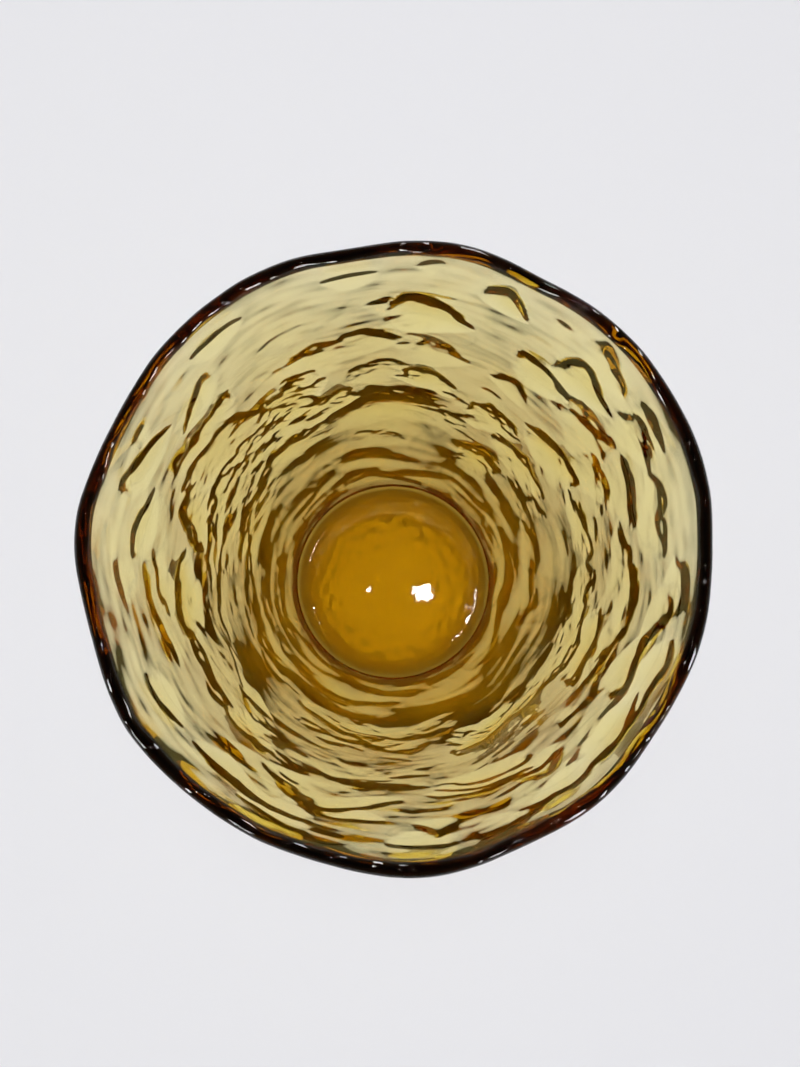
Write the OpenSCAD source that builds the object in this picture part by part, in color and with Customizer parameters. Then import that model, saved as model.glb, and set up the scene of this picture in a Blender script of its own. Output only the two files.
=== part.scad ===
// Amber glass vase with a bark relief: a thick base, a tapered wall and a fire-polished lip.
// All three are one piece of glass, divided at level planes.
// Millimetres. The origin is the centre of the underside, on the vase's axis, and +Z is up.

/* [Vessel] */
// Height from the underside to the top of the lip
height = 200; // [120:1:280]
// Outside diameter at the lip, midway between the bark's highs and lows
rim_d = 100; // [70:1:140]
// Outside diameter where the wall's slope reaches the underside
base_d = 85; // [60:1:120]

/* [Glass thickness] */
// Thickness of the solid base under the floor
base_t = 14; // [11:0.5:24]
// Wall thickness just above the floor
wall_t = 6; // [3:0.1:10]
// Wall thickness at the lip
rim_t = 2.3; // [1.6:0.1:5]
// How the wall thins on its way up: below 1 it stays thick for longer, then thins close to the lip
thinning = 0.6; // [0.4:0.1:1.5]

/* [Rounding] */
// Radius of the heel, where the underside turns up into the wall
heel_r = 10.5; // [0.5:0.5:10.5]
// Radius of the inside corner between the floor and the wall
floor_corner_r = 4.5; // [2:0.5:12]

/* [Lip] */
// Height of the lip above the end of the wall, rounded top included
rim_h = 6; // [4:0.5:15]

/* [Bark] */
// How far the bark's broad swells stand out from the mean wall, and sink below it
bark_depth = 1.4; // [0:0.1:1.6]
// Height above the floor over which the bark fades in
bark_fade = 30; // [10:1:60]
// Share of the outside swell that also shows inside, where the glass flowed smoother
inside_share = 0.8; // [0:0.05:1]

/* [Hidden] */

// Facets round the axis, rows of facets up each side of the wall, and facets in each rounding
columns = 96;
outer_rows = 30;
inner_rows = 10;
rim_rows = 2;
corner_steps = 5;
lip_steps = 8;

// Level planes between the base, the wall and the lip
floor_z = base_t;
rim_z = height - rim_h;

// The bark's broad swells, all of one height: cycles round the vase, cycles up it, phase at the lip
swells = [
    [2, 1, 20],
    [3, -1, 320],
    [4, -1, 20],
    [7, 1, 300],
    [8, -2, 140],
    [11, 2, 300],
];

// Straight taper of the outside, and the thickness at a level
function mean_r(z) = (base_d + (rim_d - base_d) * z / height) / 2;
function thickness(z) = rim_t + (wall_t - rim_t) * pow((height - z) / (height - floor_z), thinning);

// Height of the swells at an angle and a level, between -bark_depth and bark_depth
function eased(x) = let (t = min(max(x, 0), 1)) t * t * (3 - 2 * t);
function swell(a, z) =
    bark_depth / len(swells) * eased((z - floor_z) / bark_fade)
    * [for (s = swells) sin(s[0] * a + 360 * s[1] * (z - height) / height + s[2])]
    * [for (s = swells) 1];
function outer_r(a, z) = mean_r(z) + swell(a, z);
function inner_r(a, z) = mean_r(z) - thickness(z) + inside_share * swell(a, z);

// Radius of the flat floor, and the level where its rounded corner runs into the wall
corner_z = floor_z + floor_corner_r;
function floor_r(a) = inner_r(a, corner_z) - floor_corner_r;

// The wall cut at one angle, as a closed outline of [radius, height]
function wall_section(a) = concat(
    [for (k = [0 : outer_rows]) let (z = floor_z + (rim_z - floor_z) * k / outer_rows) [outer_r(a, z), z]],
    [for (k = [0 : inner_rows]) let (z = rim_z + (corner_z - rim_z) * k / inner_rows) [inner_r(a, z), z]],
    [for (k = [1 : corner_steps]) let (t = 90 * k / corner_steps)
        [floor_r(a) + floor_corner_r * cos(t), corner_z - floor_corner_r * sin(t)]]
);

// The lip cut at one angle: sides that follow the bark, and a half-round top
round_z = height - rim_t / 2;
function rim_section(a) =
    let (
        half = (outer_r(a, round_z) - inner_r(a, round_z)) / 2,
        middle = (outer_r(a, round_z) + inner_r(a, round_z)) / 2,
        levels = [for (k = [0 : rim_rows]) rim_z + (round_z - rim_z) * k / rim_rows]
    )
    concat(
        [for (z = levels) [outer_r(a, z), z]],
        [for (k = [1 : lip_steps - 1]) let (t = 180 * k / lip_steps)
            [middle + half * cos(t), round_z + (height - round_z) * sin(t)]],
        [for (k = [0 : rim_rows]) let (z = levels[rim_rows - k]) [inner_r(a, z), z]]
    );

// A closed ring of glass through one section per column
module glass_ring(sections) {
    rows = len(sections[0]);
    function at(i, k) = (i % columns) * rows + k % rows;
    polyhedron(
        points = [for (i = [0 : columns - 1], p = sections[i])
            let (a = 360 * i / columns) [p[0] * cos(a), p[0] * sin(a), p[1]]],
        faces = [for (i = [0 : columns - 1], k = [0 : rows - 1], half = [0, 1])
            half == 0
                ? [at(i, k), at(i, k + 1), at(i + 1, k)]
                : [at(i + 1, k), at(i, k + 1), at(i + 1, k + 1)]],
        convexity = 4
    );
}

// The thick bottom: flat underside, rounded heel and a level top that is the vase's floor
module base() {
    color([0.66, 0.44, 0.05])
    rotate_extrude($fn = columns)
    difference() {
        polygon([[0, 0], [mean_r(0), 0], [mean_r(floor_z), floor_z], [0, floor_z]]);
        difference() {
            translate([mean_r(heel_r) - heel_r, -1]) square([2 * heel_r, heel_r + 1]);
            translate([mean_r(heel_r) - heel_r, heel_r]) circle(heel_r, $fn = columns);
        }
    }
}

module wall() {
    color([0.86, 0.78, 0.50])
    glass_ring([for (i = [0 : columns - 1]) wall_section(360 * i / columns)]);
}

module rim() {
    color([0.24, 0.13, 0.05])
    glass_ring([for (i = [0 : columns - 1]) rim_section(360 * i / columns)]);
}

base();
wall();
rim();
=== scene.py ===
# %% [markdown]
# # An amber bark-glass vase
# The object is one piece of amber glass, blown into a mould whose walls are carved like bark. It has a
# thick base, a tapered wall that thins on its way up, and a lip that was melted smooth in a flame. The
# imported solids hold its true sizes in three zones, and this lesson dresses them as one skin of glass,
# because a seam between the zones would show in a clear material.

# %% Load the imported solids
import math

import bpy
import numpy as np
from mathutils import Euler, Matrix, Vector


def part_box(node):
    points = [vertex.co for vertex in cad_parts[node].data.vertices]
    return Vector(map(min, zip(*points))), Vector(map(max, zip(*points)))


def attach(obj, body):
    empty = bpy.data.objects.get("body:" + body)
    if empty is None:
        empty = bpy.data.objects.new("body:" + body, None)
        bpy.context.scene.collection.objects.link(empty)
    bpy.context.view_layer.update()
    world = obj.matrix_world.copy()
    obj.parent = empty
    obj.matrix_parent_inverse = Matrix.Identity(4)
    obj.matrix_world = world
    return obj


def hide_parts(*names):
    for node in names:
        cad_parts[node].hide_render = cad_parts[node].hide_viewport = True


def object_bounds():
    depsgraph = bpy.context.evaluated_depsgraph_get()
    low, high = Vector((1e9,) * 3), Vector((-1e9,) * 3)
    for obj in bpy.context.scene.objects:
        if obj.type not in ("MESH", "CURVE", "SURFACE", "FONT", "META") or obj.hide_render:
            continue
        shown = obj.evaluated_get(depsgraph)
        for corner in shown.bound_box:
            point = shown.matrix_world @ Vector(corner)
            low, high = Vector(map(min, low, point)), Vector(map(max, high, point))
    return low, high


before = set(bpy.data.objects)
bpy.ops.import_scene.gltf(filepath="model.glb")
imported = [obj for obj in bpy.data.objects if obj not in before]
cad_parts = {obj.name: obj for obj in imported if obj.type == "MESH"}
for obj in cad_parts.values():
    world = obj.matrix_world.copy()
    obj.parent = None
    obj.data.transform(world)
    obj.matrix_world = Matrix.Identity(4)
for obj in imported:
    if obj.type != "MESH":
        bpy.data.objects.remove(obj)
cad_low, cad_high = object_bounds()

MM = 0.001
scene = bpy.context.scene
scene.view_settings.view_transform = "Standard"
cad_box = [round(x / MM, 1) for x in (*cad_low, *cad_high)]
print("solids", sorted(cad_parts), "in a box from and to", cad_box, "mm")

# %% [markdown]
# ## The camera
# The vase was photographed from straight above with a phone, whose main lens sees about as much as a 26
# mm lens on a full-frame camera. A camera could be placed by eye, but a fit is better: the lip's circle
# and the floor's circle have known sizes, so their places in the picture give the lens its height, shift
# and tilt.

# %% Place the camera
PHOTO_W, PHOTO_H = 800, 1067
FOCAL_PX = 800
SENSOR_MM = 36
LENS_AT = Vector((-1.45, -9.2, 324.7)) * MM
LENS_TURN = Euler((math.radians(5.10), math.radians(-0.76), 0))

camera_data = bpy.data.cameras.new("camera")
camera_data.sensor_width = SENSOR_MM
camera_data.lens = FOCAL_PX / PHOTO_H * SENSOR_MM
camera_data.clip_start = 1 * MM
camera = bpy.data.objects.new("camera", camera_data)
camera.location = LENS_AT
camera.rotation_euler = LENS_TURN
scene.collection.objects.link(camera)
scene.camera = camera


def look(pixel):
    """Direction in which the lens sees a pixel of the picture."""
    ahead = Vector(((pixel[0] - PHOTO_W / 2) / FOCAL_PX, (PHOTO_H / 2 - pixel[1]) / FOCAL_PX, -1))
    ahead.rotate(LENS_TURN)
    return ahead


print("lens", round(camera_data.lens, 2), "mm,", round((LENS_AT.z - cad_high.z) / MM), "mm above the lip")

# %% [markdown]
# ## The profile
# A blown vase is a turned shape before anything else. Its sizes could be typed in again, but its straight
# outside comes from two rings of the solids, so that the skin lies on them. The wall thins upwards
# because the glass stretched as it was blown.

# %% Read the taper from the solids
HEIGHT = cad_high.z / MM
FLOOR_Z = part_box("base")[1].z / MM
RIM_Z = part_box("rim")[0].z / MM
LEVEL_SLACK = 0.05
OUTERMOST = 0.97


def ring_radius(node, level):
    """Mean radius of a solid's outermost points at a level, in mm."""
    points = np.array([v.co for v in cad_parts[node].data.vertices]) / MM
    ring = points[np.abs(points[:, 2] - level) < LEVEL_SLACK]
    radius = np.hypot(ring[:, 0], ring[:, 1])
    return radius[radius > OUTERMOST * radius.max()].mean()


LOW_R = ring_radius("base", FLOOR_Z)
HIGH_R = ring_radius("rim", RIM_Z)
TAPER = (HIGH_R - LOW_R) / (RIM_Z - FLOOR_Z)


def mean_r(z):
    return LOW_R + TAPER * (z - FLOOR_Z)


print("outside radius", round(mean_r(0), 2), "mm at the foot and", round(mean_r(HEIGHT), 2), "mm at the lip")

# %% Set the thickness of the glass
WALL_T = 6
LIP_T = 2.3
THINNING = 0.6
HEEL_R = 10.5
CORNER_R = 4.5
ROUND_Z = HEIGHT - LIP_T / 2
CORNER_Z = FLOOR_Z + CORNER_R


def eased(x):
    t = np.clip(x, 0, 1)
    return t * t * (3 - 2 * t)


def thickness(z):
    return LIP_T + (WALL_T - LIP_T) * np.clip((HEIGHT - z) / (HEIGHT - FLOOR_Z), 0, 1) ** THINNING


print("glass", thickness(np.linspace(CORNER_Z, ROUND_Z, 4)).round(1), "mm thick, going up")

# %% [markdown]
# ## The skin's grid
# Bark needs small facets near the lip, where the lens is close, and larger ones near the foot.
# Subdividing a coarse mesh would spread its facets evenly, so the rows are placed one by one: each side
# of the wall gets a list of levels that grow closer together on their way up.

# %% Lay out columns and rows
COLUMNS = 480
OUTER_ROWS = 300
INNER_ROWS = 140

turn = np.arange(COLUMNS) * 2 * np.pi / COLUMNS


def levels(low, high, count):
    """Levels from low to high whose spacing shrinks to a third on the way up."""
    left = np.linspace(1, 0, count)
    return high - (high - low) * left * (1 + left) / 2


outer_z = levels(HEEL_R, ROUND_Z, OUTER_ROWS)
inner_z = levels(CORNER_Z, ROUND_Z, INNER_ROWS)
apart = np.diff(outer_z)
print("rows outside are", apart[0].round(2), "mm apart at the foot and", apart[-1].round(2), "mm at the lip")

# %% [markdown]
# ## The broad swells
# The mould is carved by hand, so the vase isn't quite round. Six slow waves run round and up it, and they
# show best in the lip's uneven outline. The solids have the same ones. Reading them from the solids would
# bring their facets along, so the formula is repeated here.

# %% Repeat the solids' swells
BARK_DEPTH = 1.4
BARK_FADE = 30
INSIDE_SHARE = 0.8
SWELLS = [(2, 1, 20), (3, -1, 320), (4, -1, 20), (7, 1, 300), (8, -2, 140), (11, 2, 300)]


def swell(angle, z):
    """Height of the swells in mm, by cycles round the vase, cycles up it and the phase at the lip."""
    rise = 2 * np.pi * (z - HEIGHT) / HEIGHT
    total = sum(np.sin(around * angle + up * rise + math.radians(phase)) for around, up, phase in SWELLS)
    return BARK_DEPTH / len(SWELLS) * eased((z - FLOOR_Z) / BARK_FADE) * total


lip_line = swell(turn, HEIGHT)
print("the lip swells from", lip_line.min().round(2), "to", lip_line.max().round(2), "mm")

# %% [markdown]
# ## The bark
# Bark is made of scales: each one stands out a little more on its way up and then drops back at a ragged
# edge. Smooth noise would give a glass like hammered metal. Here each scale is a stroke with a long slow
# rise, a short steep drop and ends that run out to nothing, because the eye reads the drops: seen from
# inside they mirror the light away, and show as dark dashes on the pale wall.

# %% Make smooth random waves
MEAN_R = mean_r(HEIGHT / 2)
SIZE_SPREAD = 0.28


def waves(angle, z, size_round, size_up, seed, count=40):
    """A smooth random field of unit spread, with waves about that long in mm, round the wall and up it."""
    draw = np.random.default_rng(seed)
    total = np.zeros(np.broadcast(angle, z).shape)
    for _ in range(count):
        heading = draw.uniform(0, 2 * np.pi)
        finer = np.exp(draw.normal(0, SIZE_SPREAD))
        cycles = np.round(2 * np.pi * MEAN_R * np.cos(heading) * finer / size_round)
        climb = 2 * np.pi * np.sin(heading) * finer / size_up
        total += np.sin(cycles * angle + climb * z + draw.uniform(0, 2 * np.pi))
    return total * np.sqrt(2 / count)


angle, level = np.meshgrid(turn, outer_z)
up_wall = np.clip((level - FLOOR_Z) / (HEIGHT - FLOOR_Z), 0, 1)
print("the wall's relief has", angle.size, "points")

# %% Say where the bark is ragged and where it is calm
# Waves are sized in mm, and the others are shares
FINE_SHARE = 0.3
CALM_MEAN = 0.6
CALM_SWING = 0.5
CALMEST, WILDEST = 0.15, 1.3

ragged = waves(angle, level, 9, 9, seed=3) + FINE_SHARE * waves(angle, level, 3, 3, seed=4)
wild = CALM_MEAN + CALM_SWING * waves(angle, level, 26, 22, seed=5, count=24)
wild = np.clip(wild, CALMEST, WILDEST)
print((wild < 2 * CALMEST).mean().round(2), "of the wall is calm")

# %% Carve one scale
ROUND = 2 * np.pi * MEAN_R
# Length of the slow rise in widths of the drop, and the square of the share of its width that an end keeps
RISE = 2.5
THIN_END = 1e-4


def add_scale(relief, around, z, half, lean, drop, tilt, curl, wander):
    """Adds a scale, centred that many mm round the wall and up it, to a relief.

    Half its length and the width of its drop are in mm, and its lean and the tilt of its drop in radians.
    The curl is how much the drop steepens to its end, and the wander how far its line strays in drop widths.
    """
    aside = (turn * MEAN_R - around + ROUND / 2) % ROUND - ROUND / 2
    reach = half + (RISE + 1) * drop
    columns = np.flatnonzero(np.abs(aside) < reach)
    first, last = np.searchsorted(outer_z, [z - reach, z + reach])
    patch = np.ix_(np.arange(first, last), columns)
    aside, up = aside[columns], level[patch] - z
    along = aside * math.cos(lean) + up * math.sin(lean)
    across = up * math.cos(lean) - aside * math.sin(lean) + wander * drop * ragged[patch]
    wide = drop * np.sqrt(np.clip(1 - (along / half) ** 2, THIN_END, 1))
    down = across / wide + 0.5
    fall = 1 - (1 - curl) * down - curl * np.clip(down, 0, 1) ** 3
    relief[patch] += math.tan(tilt) * wide * np.clip(np.minimum(1 + down / RISE, fall), 0, 1)


print("a scale rises over", RISE, "times the width of its drop")

# %% Strew the scales
# Leans are in degrees and drops in mm, and each spread is that of a normal draw
LENGTH_SPREAD = 0.45
LEAN_SPREAD, LEAN_MOST = 28, 60
DROP_AT_LIP, DROP_MORE_BELOW, DROP_SPREAD = 2.5, 8, 0.3
TILT_AT_FLOOR, TILT_SPREAD = 0.22, 0.5
CURL, WANDER = 0.4, 0.25


def scatter(count, seed, low, top, size, share, tilt):
    """Scales strewn between two levels: their size in mm, their share of the usual drop, and its tilt."""
    draw = np.random.default_rng(seed)
    relief = np.zeros(angle.shape)
    for _ in range(count):
        around, z = draw.uniform(0, ROUND), draw.uniform(low, top)
        here = np.searchsorted(outer_z, z), int(around / ROUND * COLUMNS)
        half = 0.5 * size * np.exp(draw.normal(0, LENGTH_SPREAD))
        lean = math.radians(np.clip(draw.normal(0, LEAN_SPREAD), -LEAN_MOST, LEAN_MOST))
        usual = DROP_AT_LIP + DROP_MORE_BELOW * (1 - up_wall[here])
        drop = share * usual * np.exp(draw.normal(0, DROP_SPREAD))
        steep = tilt * (TILT_AT_FLOOR + (1 - TILT_AT_FLOOR) * up_wall[here])
        steep *= wild[here] * np.exp(draw.normal(0, TILT_SPREAD))
        add_scale(relief, around, z, half, lean, drop, math.radians(steep), CURL, WANDER)
    return relief


plates = scatter(count=135, seed=21, low=FLOOR_Z, top=HEIGHT - 30, size=20, share=0.75, tilt=16)
flakes = scatter(count=130, seed=22, low=HEIGHT / 2, top=HEIGHT - 10, size=8, share=0.4, tilt=7)
print("scales up to", (plates + flakes).max().round(2), "mm high where they pile up")

# %% [markdown]
# ## The boldest scales
# Near the lip some scales stand out one by one. They could be strewn like the others, but the eye knows
# them by their places, so they are listed. A gentle drop mirrors the dark foot of the vase, and a
# steep one mirrors the lit paper and looks amber. The lens that was fitted above carries them from the
# picture to the wall.

# %% List the boldest scales
DARK, AMBER = 6, 20
# Each has its two ends and its width in pixels of the picture, and the tilt of its drop in degrees
BOLD = [
    ((607, 347), (620, 398), 9, DARK),
    ((582, 363), (603, 413), 11, AMBER),
    ((635, 420), (645, 470), 9, DARK),
    ((643, 407), (658, 450), 8, DARK),
    ((642, 472), (665, 497), 6, DARK),
    ((590, 457), (603, 500), 9, DARK),
    ((527, 353), (567, 397), 8, AMBER),
    ((570, 400), (608, 447), 10, DARK),
    ((510, 290), (525, 320), 9, AMBER),
    ((407, 295), (473, 327), 12, AMBER),
    ((417, 267), (440, 263), 4, DARK),
    ((557, 318), (573, 330), 4, DARK),
    ((620, 460), (635, 523), 8, DARK),
    ((652, 490), (667, 550), 7, DARK),
    ((533, 422), (577, 480), 9, AMBER),
    ((427, 342), (467, 363), 6, DARK),
    ((490, 377), (517, 382), 6, DARK),
    ((287, 363), (337, 340), 7, DARK),
    ((203, 487), (227, 417), 16, DARK),
    ((123, 477), (167, 427), 8, AMBER),
    ((173, 463), (185, 447), 5, DARK),
    ((185, 430), (200, 377), 5, AMBER),
    ((250, 417), (283, 387), 9, DARK),
    ((350, 330), (400, 340), 8, DARK),
    ((367, 302), (390, 298), 5, DARK),
    ((133, 437), (142, 423), 5, DARK),
    ((133, 547), (153, 490), 6, AMBER),
    ((180, 513), (203, 550), 12, AMBER),
    ((118, 560), (125, 603), 5, DARK),
    ((142, 567), (173, 663), 6, DARK),
    ((177, 557), (185, 633), 9, AMBER),
    ((183, 627), (243, 740), 9, DARK),
    ((147, 677), (180, 723), 5, AMBER),
    ((193, 753), (300, 827), 8, AMBER),
    ((227, 743), (270, 793), 7, DARK),
    ((263, 763), (323, 813), 10, DARK),
    ((312, 808), (400, 803), 4, AMBER),
    ((320, 814), (380, 822), 4, AMBER),
    ((640, 573), (620, 633), 9, DARK),
    ((617, 637), (590, 683), 5, DARK),
    ((670, 613), (640, 637), 6, DARK),
    ((640, 640), (628, 690), 9, AMBER),
    ((630, 690), (585, 742), 5, DARK),
    ((680, 557), (687, 603), 9, DARK),
    ((563, 747), (550, 773), 6, DARK),
    ((603, 613), (577, 683), 10, AMBER),
    ((528, 765), (445, 783), 4, AMBER),
    ((532, 772), (438, 790), 4, AMBER),
    ((520, 780), (430, 797), 4, AMBER),
    ((553, 797), (517, 817), 7, DARK),
    ((417, 820), (437, 832), 6, DARK),
    ((530, 813), (490, 840), 6, DARK),
    ((640, 693), (617, 743), 8, AMBER),
    ((675, 646), (643, 715), 9, AMBER),
    ((643, 711), (591, 772), 10, AMBER),
    ((591, 772), (538, 803), 6, AMBER),
    ((192, 353), (237, 319), 5, AMBER),
    ((325, 279), (371, 269), 4, AMBER),
    ((390, 843), (453, 841), 5, AMBER),
    ((240, 800), (300, 833), 5, AMBER),
    ((330, 408), (425, 398), 12, AMBER),
    ((375, 712), (470, 708), 14, AMBER),
    ((300, 690), (370, 715), 12, AMBER),
    ((470, 735), (540, 700), 10, AMBER),
]
print(len(BOLD), "bold scales,", sum(tilt == AMBER for *_, tilt in BOLD), "of them amber")

# %% Carry them to the wall
# No scale is deeper than this in mm, and the others are shares
DEEPEST = 2.0
SINK = 0.77
WIDER = 1.3
HALF_WITH_ENDS = 0.55
LEAST_COS = 0.3
BOLD_CURL, BOLD_WANDER = 0.15, 0.12


def on_wall(pixel):
    """The point of the wall's outside that a pixel shows, as mm round it and mm up it.

    The look goes on downwards inside the glass, by SINK times the wall's thickness.
    """
    ahead, lens = look(pixel), LENS_AT / MM
    x, y = (lens[i] + ahead[i] / ahead.z * (inner_z - lens.z) for i in (0, 1))
    outside_by = np.hypot(x, y) - mean_r(inner_z) + thickness(inner_z)
    z = np.interp(0, -outside_by, inner_z)
    around = math.atan2(np.interp(z, inner_z, y), np.interp(z, inner_z, x)) * MEAN_R
    return np.array([around, z - SINK * thickness(z)])


bold = np.zeros(angle.shape)
for start, end, width, tilt in BOLD:
    start, end = np.array(start), np.array(end)
    middle = (start + end) / 2
    sideways = np.array([start[1] - end[1], end[0] - start[0]]) / np.linalg.norm(end - start) * width / 2
    run = on_wall(end) - on_wall(start)
    run[0] = (run[0] + ROUND / 2) % ROUND - ROUND / 2
    run *= math.copysign(1, run[0])
    lean = math.atan2(run[1], run[0])
    upward = np.array([-math.sin(lean), math.cos(lean)])
    drop = abs(upward @ (on_wall(middle + sideways) - on_wall(middle - sideways)))
    drop *= WIDER if tilt == DARK else 1
    steep = min(math.radians(tilt) / max(math.cos(lean), LEAST_COS), math.atan2(DEEPEST, drop))
    half = HALF_WITH_ENDS * np.linalg.norm(run)
    add_scale(bold, *on_wall(middle), half, lean, drop, steep, BOLD_CURL, BOLD_WANDER)
print("bold scales up to", bold.max().round(2), "mm high")

# %% [markdown]
# ## From scales to a wall
# Molten glass doesn't copy a mould sharply. It bridges the narrow places, keeps a slow ripple where it
# chilled, and is softest near the foot, where it is thickest. A sculpted mesh could be smoothed by hand,
# but here the relief is still a grid of heights, so a Gaussian blur does it: a wide one takes out the
# rise where scales pile up, and narrow ones soften the scales in the lower half.

# %% Blur a relief
def blurred(field, cells):
    """The field under a Gaussian of that many cells, closed round the wall and held at its two ends."""
    reach = 3 * cells
    kernel = np.exp(-0.5 * (np.arange(-reach, reach + 1) / cells) ** 2)
    kernel /= kernel.sum()
    wide = np.hstack([field[:, -reach:], field, field[:, :reach]])
    across = np.apply_along_axis(np.convolve, 1, wide, kernel, "valid")
    tall = np.pad(across, ((reach, reach), (0, 0)), mode="edge")
    return np.apply_along_axis(np.convolve, 0, tall, kernel, "valid")


def softened(relief, cells, foot, blend):
    """The relief, blurred by that many cells up to a level and crisp from that many mm above it."""
    crisp = eased((level - foot) / blend)
    return crisp * relief + (1 - crisp) * blurred(relief, cells)


PILE_CELLS = 16

piled = plates + flakes
strewn = softened(piled - blurred(piled, PILE_CELLS), cells=4, foot=50, blend=100)
standing = softened(bold, cells=6, foot=100, blend=50)
print("strewn scales up to", strewn.max().round(2), "mm and bold ones up to", standing.max().round(2), "mm")

# %% Settle the bark on the wall
# Heights and levels are in mm, and the lip keeps a share of the bark
RIPPLE, FINE_RIPPLE = 0.03, 0.01
BANDS = 0.035
FURROW, FURROW_WIDTH = 0.12, 0.45
LIP_KEEPS, LIP_MELTS, LIP_BLEND = 0.3, 2, 8
BARK_START = 8

ripple = RIPPLE * waves(angle, level, 9, 9, seed=2) + FINE_RIPPLE * waves(angle, level, 14, 3.5, seed=6)
bands = BANDS * waves(angle, level, 40, 12, seed=7)
furrow_line = waves(angle, level, 14, 75, seed=8) / FURROW_WIDTH
furrows = -FURROW * (1 - up_wall) * np.exp(-(furrow_line**2))
lip_melt = LIP_KEEPS + (1 - LIP_KEEPS) * eased((HEIGHT - LIP_MELTS - level) / LIP_BLEND)
bark = strewn + standing + ripple * up_wall**3 + bands * (1 - up_wall) + furrows
bark *= lip_melt * eased((level - BARK_START) / BARK_FADE)
print("bark from", bark.min().round(2), "to", bark.max().round(2), "mm")

# %% [markdown]
# ## The inside of the wall
# The mould touches only the outside. Inside, the glass flowed on its own, so the same scales show there
# as soft dents. Blurring the outer relief gives exactly that, where a second noise would give dents that
# don't belong to any scale.

# %% Soften the bark for the inside
SOFT_CELLS = 7
SOFT_SHARE = 0.5
DENT_FADE = 20

outer = mean_r(level) + swell(angle, level) + bark
soft_bark = SOFT_SHARE * blurred(bark, SOFT_CELLS)
soft_inside = np.array([np.interp(inner_z, outer_z, column) for column in soft_bark.T]).T
inner_level = inner_z[:, None]
dents = INSIDE_SHARE * swell(turn, inner_level) + soft_inside * eased((inner_level - CORNER_Z) / DENT_FADE)
inner = mean_r(inner_level) - thickness(inner_level) + dents
print("least glass in the wall", (outer[-1] - inner[-1]).min().round(2), "mm, at the lip")

# %% [markdown]
# ## The lip
# A cut edge would be sharp, so the lip is held in a flame until it rounds. A bevel would round it evenly,
# so its half-round rows are laid one by one instead: its crest rises and falls by up to half a millimetre,
# which breaks its highlights into short dashes.

# %% Round the lip
LIP_STEPS = 14
CREST, FINE_CREST = 0.18, 0.07

crest = CREST * waves(turn, 0, 14, 14, seed=31, count=14)
crest += FINE_CREST * waves(turn, 0, 7, 7, seed=32, count=14)
lip_middle = (outer[-1] + inner[-1]) / 2
lip_half = (outer[-1] - inner[-1]) / 2
lip = []
for t in np.linspace(0, np.pi, LIP_STEPS)[1:-1]:
    lip.append((lip_middle + lip_half * np.cos(t), ROUND_Z + (LIP_T / 2 + crest) * np.sin(t)))
print("the crest waves by", np.ptp(crest).round(2), "mm")

# %% [markdown]
# ## The floor and the underside
# The floor is flat and runs into the wall with a small round. The underside was pressed flat while soft,
# and it chilled slightly hollow, with shallow dimples that show as golden glints through the thick base.
# Two plain discs would look like a machined lens, so both are rows of rings, with a little unevenness in
# the corner and below.

# %% Shape the floor and its corner
UNEVEN = 0.06
ROUND_STEPS = 14
FLOOR_ROWS = 12
INNERMOST = 0.02

floor_r = inner[0] - CORNER_R
uneven = UNEVEN * waves(turn, 0, 9, 9, seed=33, count=14)
corner = []
for t in np.linspace(0, np.pi / 2, ROUND_STEPS)[1:]:
    bulge = CORNER_R + uneven * np.sin(2 * t)
    corner.append((floor_r + bulge * np.cos(t), CORNER_Z - bulge * np.sin(t)))
floor = [(floor_r * share, FLOOR_Z) for share in np.linspace(1, INNERMOST, FLOOR_ROWS)[1:]]
print("flat floor", round(2 * floor_r.mean(), 1), "mm across")

# %% Shape the underside and the heel
# The heel starts with a slope, and the hollow fades out to the edge with a high power of the radius
HEEL_START = math.radians(8)
FOOT_R = mean_r(HEEL_R) - HEEL_R * (1 - math.sin(HEEL_START))
UNDER_ROWS = 80
HOLLOW = 0.06
DIMPLE = 0.02
DIMPLE_SIZE = 6
EDGE_POWER = 6

underside = []
for share in np.sin(np.linspace(INNERMOST, np.pi / 2, UNDER_ROWS)):
    x, y = FOOT_R * share * np.cos(turn), FOOT_R * share * np.sin(turn)
    dimples = DIMPLE * waves(x / MEAN_R, y, DIMPLE_SIZE, DIMPLE_SIZE, seed=35)
    underside.append((FOOT_R * share + 0 * turn, (HOLLOW + dimples) * (1 - share**EDGE_POWER)))
heel = []
for t in HEEL_START + (np.pi / 2 - HEEL_START) * np.linspace(0, 1, 2 * ROUND_STEPS)[1:-1] ** 2:
    out, up = math.sin(t) - math.sin(HEEL_START), math.cos(HEEL_START) - math.cos(t)
    heel.append((FOOT_R + HEEL_R * out, HEEL_R * up))
print("it stands on a ring", round(2 * FOOT_R, 1), "mm across")

# %% [markdown]
# ## One skin of glass
# The rows run from the middle of the underside out to the heel, up the outside, over the lip, down the
# inside and in to the middle of the floor. Lofting them gives one closed mesh, and a clear material needs
# that: light has to enter and leave the glass at true surfaces.

# %% Loft the rows into a mesh
rows = underside + heel
rows += list(zip(outer, outer_z))
rows += lip
rows += list(zip(inner[::-1], inner_z[::-1]))
rows += corner + floor


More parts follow.
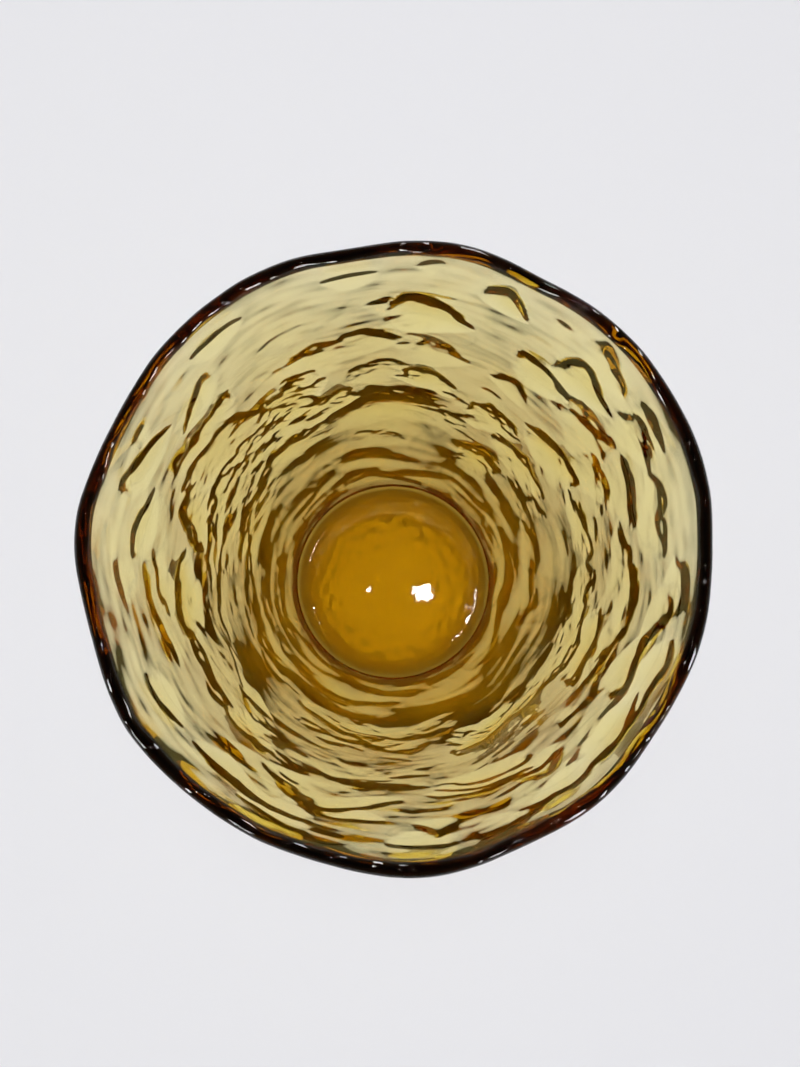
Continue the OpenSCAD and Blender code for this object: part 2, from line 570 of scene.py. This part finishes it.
def loft(name, rows):
    """A closed mesh through rings of (radius, level) in mm, with a point at each end of the axis."""
    points = []
    for radius, z in rows:
        ring = np.broadcast_arrays(radius * np.cos(turn), radius * np.sin(turn), z)
        points.append(np.stack(ring, axis=1))
    ends = [[0, 0, np.mean(rows[0][1])], [0, 0, np.mean(rows[-1][1])]]
    points = np.vstack(points + [ends]) * MM
    here = np.arange(COLUMNS)
    after = (here + 1) % COLUMNS
    band = np.stack([here, after, after + COLUMNS, here + COLUMNS], axis=1)
    faces = []
    for start in COLUMNS * np.arange(len(rows) - 1):
        faces += (band + start).tolist()
    bottom, top = len(points) - 2, len(points) - 1
    last = COLUMNS * (len(rows) - 1)
    faces += [(bottom, int(b), int(a)) for a, b in zip(here, after)]
    faces += [(top, int(a), int(b)) for a, b in zip(here + last, after + last)]
    mesh = bpy.data.meshes.new(name)
    mesh.from_pydata(points.tolist(), [], faces)
    mesh.shade_smooth()
    return mesh


vase = bpy.data.objects.new("vase", loft("vase", rows))
scene.collection.objects.link(vase)
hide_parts("base", "wall", "rim")
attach(vase, "root")
print("skin of", len(vase.data.polygons), "faces in", len(rows), "rows")

# %% [markdown]
# ## Amber glass
# Amber soda-lime glass is coloured all through by iron and sulphur, and melted smooth on both faces. What
# that gives the eye is a straw yellow where the wall is thin and a deep gold where the base is thick, so
# its colour is set as the tint that white light takes on in 10 mm of it, and the volume does the rest. A
# tinted surface would be the same yellow everywhere. The mould leaves a faint orange peel and patches of
# weaker polish, and the foot is scuffed from standing on tables, which softens what the base mirrors.

# %% Turn colours to linear light
def linear(hex_colour):
    """An sRGB hex colour as linear red, green and blue."""
    values = [int(hex_colour[i : i + 2], 16) / 255 for i in (1, 3, 5)]
    return [v / 12.92 if v <= 0.04045 else ((v + 0.055) / 1.055) ** 2.4 for v in values]


print("half grey is", round(linear("#808080")[0], 3), "in linear light")

# %% Mix the amber
TINT_IN_10MM = "#E9CF60"
TINT_DEPTH = 10 * MM
HEADROOM = 1.03

absorbed = [-math.log(part) / TINT_DEPTH for part in linear(TINT_IN_10MM)]
density = HEADROOM * max(absorbed)
amber = [1 - part / density for part in absorbed]
print("absorbs", [round(part) for part in absorbed], "per metre of red, green and blue")

# %% Melt the glass
SODA_LIME_IOR = 1.52


def add_node(tree, kind, links=(), **settings):
    """Adds a node, sets its sockets or properties by name, and links (socket, output) pairs to it."""
    node = tree.nodes.new(kind)
    for name, value in settings.items():
        socket = node.inputs.get(name.replace("_", " ").title())
        if socket is not None:
            socket.default_value = value
        else:
            setattr(node, name, value)
    for socket, output in links:
        tree.links.new(output, node.inputs[socket])
    return node


glass = bpy.data.materials.new("amber_soda_lime_glass")
glass.use_nodes = True
tree = glass.node_tree
surface = tree.nodes["Principled BSDF"]
surface.inputs["Base Color"].default_value = (1, 1, 1, 1)
surface.inputs["IOR"].default_value = SODA_LIME_IOR
surface.inputs["Transmission Weight"].default_value = 1
volume = add_node(tree, "ShaderNodeVolumeAbsorption", density=density, color=(*amber, 1))
tree.links.new(volume.outputs["Volume"], tree.nodes["Material Output"].inputs["Volume"])
vase.data.materials.append(glass)
print("glass of index", SODA_LIME_IOR, "and density", round(density))

# %% Polish it, scuff its foot and give it an orange peel
PATCH = 25 * MM
ROUGHEST = 0.02
FOOT_TOP = 1 * MM
SCUFFED = 0.1
PEEL = 5 * MM
PEEL_DEPTH = 0.02 * MM

on_glass = add_node(tree, "ShaderNodeTexCoord").outputs["Object"]
patches = add_node(tree, "ShaderNodeTexNoise", [("Vector", on_glass)], scale=1 / PATCH)
polish = add_node(tree, "ShaderNodeMapRange", [("Value", patches.outputs["Fac"])], to_max=ROUGHEST)
heights = add_node(tree, "ShaderNodeSeparateXYZ", [("Vector", on_glass)])
worn = [("Value", heights.outputs["Z"])]
scuffs = add_node(tree, "ShaderNodeMapRange", worn, from_min=FOOT_TOP, from_max=0, to_max=SCUFFED)
finish = add_node(tree, "ShaderNodeMath", [(0, polish.outputs["Result"]), (1, scuffs.outputs["Result"])])
tree.links.new(finish.outputs["Value"], surface.inputs["Roughness"])
orange_peel = add_node(tree, "ShaderNodeTexNoise", [("Vector", on_glass)], scale=1 / PEEL)
bump = add_node(tree, "ShaderNodeBump", [("Height", orange_peel.outputs["Fac"])], distance=PEEL_DEPTH)
tree.links.new(bump.outputs["Normal"], surface.inputs["Normal"])
print("the glass has", len(tree.nodes), "nodes")

# %% [markdown]
# ## The pale floor
# The vase stands on matt white paper, which scatters light evenly and has no highlight. A white backdrop
# with a curved back would do too, but the lens looks straight down, so one flat sheet is enough, and at
# this distance a high roughness is all that paper needs. A hair of air under the foot keeps the two
# surfaces apart.

# %% Lay the paper
PAPER = "#E6E7E9"
FLOOR_GAP = 0.3 * MM
HALF_FLOOR = 3
MATT = 0.9

floor_mesh = bpy.data.meshes.new("paper_floor")
square = [(-1, -1), (1, -1), (1, 1), (-1, 1)]
sheet = [(x * HALF_FLOOR, y * HALF_FLOOR, -FLOOR_GAP) for x, y in square]
floor_mesh.from_pydata(sheet, [], [(0, 1, 2, 3)])
paper_floor = bpy.data.objects.new("paper_floor", floor_mesh)
scene.collection.objects.link(paper_floor)

paper = bpy.data.materials.new("matt_white_paper")
paper.use_nodes = True
paper_surface = paper.node_tree.nodes["Principled BSDF"]
paper_surface.inputs["Base Color"].default_value = (*linear(PAPER), 1)
paper_surface.inputs["Roughness"].default_value = MATT
floor_mesh.materials.append(paper)
print("paper reflects", round(linear(PAPER)[0], 2))

# %% [markdown]
# ## The light
# A large soft box overhead lights the paper evenly and shows the glass mostly by the light that comes
# through it. A single disc would be mirrored by the base with a hard edge, so the box is a stack of five
# discs of growing size: its middle is brightest, and it fades outwards in steps.

# %% Hang the soft box overhead
# Heights and sizes of lamps are in metres
BOX_H = 2.0
BOX_AT = (-0.05, 0.06)
BOX_SIZES = [1.1, 1.25, 1.4, 1.55, 1.7]
BOX_STEP = 0.1
BOX_GLOW = 1.92
COOL_WHITE = "#F6F9FF"


def hang(name, shape, size, power, location):
    """An area lamp that faces straight down and that the lens doesn't see."""
    lamp = bpy.data.lights.new(name, "AREA")
    lamp.shape = shape
    lamp.size = size
    lamp.energy = power
    lamp.color = linear(COOL_WHITE)
    lamp_object = bpy.data.objects.new(name, lamp)
    lamp_object.location = location
    lamp_object.visible_camera = False
    scene.collection.objects.link(lamp_object)
    return lamp_object


def watts(glow, area):
    """Power of an area lamp that glows so brightly, where 1 is white."""
    return glow * math.pi * area


for size in BOX_SIZES:
    above = (*BOX_AT, BOX_H + BOX_STEP * size)
    soft_box = hang(f"soft_box_{size}", "DISK", size, watts(BOX_GLOW, math.pi * size**2 / 4), above)
    soft_box.visible_glossy = False
print("soft box glows", round(BOX_GLOW * len(BOX_SIZES), 1), "in its middle and", BOX_GLOW, "at its edge")

# %% [markdown]
# ## The highlights
# Polished glass is known by its highlights. On the flat floor of the vase there are two sparkles, so two
# small lamps hang where that floor mirrors them into the lens. On the round lip there are short white
# dashes, which come from narrow strips round the vase. The strips are left out of what shines through the
# glass and onto the paper, because they would turn the dark lip red.

# %% Place the sparkles
GLINT_H = 1.0
GLINT_TURN = math.radians(20)
# Each has its pixel in the picture, the lamp's width and depth in metres, and its power in watts
GLINTS = [((423, 594), (0.030, 0.019), 0.12), ((368, 590), (0.010, 0.008), 0.012)]


def mirror_place(pixel, height):
    """Where a lamp at that height hangs, so that the vase's floor mirrors it into that pixel."""
    ahead = look(pixel)
    hit = LENS_AT + ahead * ((FLOOR_Z * MM - LENS_AT.z) / ahead.z)
    ahead.z = -ahead.z
    return hit + ahead * ((height - hit.z) / ahead.z)


for number, (pixel, (wide, deep), power) in enumerate(GLINTS):
    glint = hang(f"sparkle_lamp_{number}", "RECTANGLE", wide, power, mirror_place(pixel, GLINT_H))
    glint.data.size_y = deep
    glint.rotation_euler.z = GLINT_TURN
    print("sparkle lamp at", [round(x, 3) for x in glint.location])

# %% Stand strips round the vase for the lip
STRIP_W = 0.1
STRIP_L = 0.5
STRIP_GLOW = 16
STRIP_OUT = 1.1
STRIP_H = 0.9
STRIP_HEADINGS = [-72, -52, -38, -22, 45, 80, 205, 228]

for degrees in STRIP_HEADINGS:
    heading = math.radians(degrees)
    beside = Vector((STRIP_OUT * math.cos(heading), STRIP_OUT * math.sin(heading), STRIP_H))
    strip = hang(f"strip_{degrees}", "RECTANGLE", STRIP_W, watts(STRIP_GLOW, STRIP_W * STRIP_L), beside)
    strip.data.size_y = STRIP_L
    strip.rotation_euler = (-beside).to_track_quat("-Z", "Y").to_euler()
    strip.visible_diffuse = False
    strip.visible_transmission = False
print(len(STRIP_HEADINGS), "strips at", STRIP_OUT, "m from the axis")

# %% [markdown]
# ## The room
# Glass also shows what stands round it. The room is pale at the horizon, as walls are that catch the
# light of the paper, and gets dim and brown further up. That dimness is what the lip and the steep scales
# mirror, so it draws their dark lines. An even grey world would leave the glass without contrast.

# %% Fill in with a dim room
# Each colour is given at the sine of its height over the horizon
ROOM = [(0, "#C9C9C8"), (0.2, "#C9C9C8"), (0.36, "#7A6244"), (0.85, "#4A3B2B"), (1, "#221D18")]

world = bpy.data.worlds.new("dim_room")
world.use_nodes = True
scene.world = world
sky = world.node_tree
towards = add_node(sky, "ShaderNodeTexCoord").outputs["Generated"]
parts = add_node(sky, "ShaderNodeSeparateXYZ", [("Vector", towards)])
ramp = add_node(sky, "ShaderNodeValToRGB", [("Fac", parts.outputs["Z"])])
stops = ramp.color_ramp.elements
while len(stops) < len(ROOM):
    stops.new(0.5)
for stop, (upward, colour) in zip(stops, ROOM):
    stop.position = upward
    stop.color = (*linear(colour), 1)
sky.links.new(ramp.outputs["Color"], sky.nodes["Background"].inputs["Color"])
print("room from", ROOM[0][1], "at the horizon to", ROOM[-1][1], "overhead")

# %% [markdown]
# ## Light paths
# Light crosses four glass surfaces on its way through the vase, and more inside the lip, so the renderer
# is allowed more bounces than usual.

# %% Allow enough bounces
THROUGH_GLASS = 24
MIRRORED = 12

scene.cycles.max_bounces = THROUGH_GLASS
scene.cycles.transmission_bounces = THROUGH_GLASS
scene.cycles.glossy_bounces = MIRRORED
print("light may pass", THROUGH_GLASS, "surfaces and be mirrored", MIRRORED, "times")
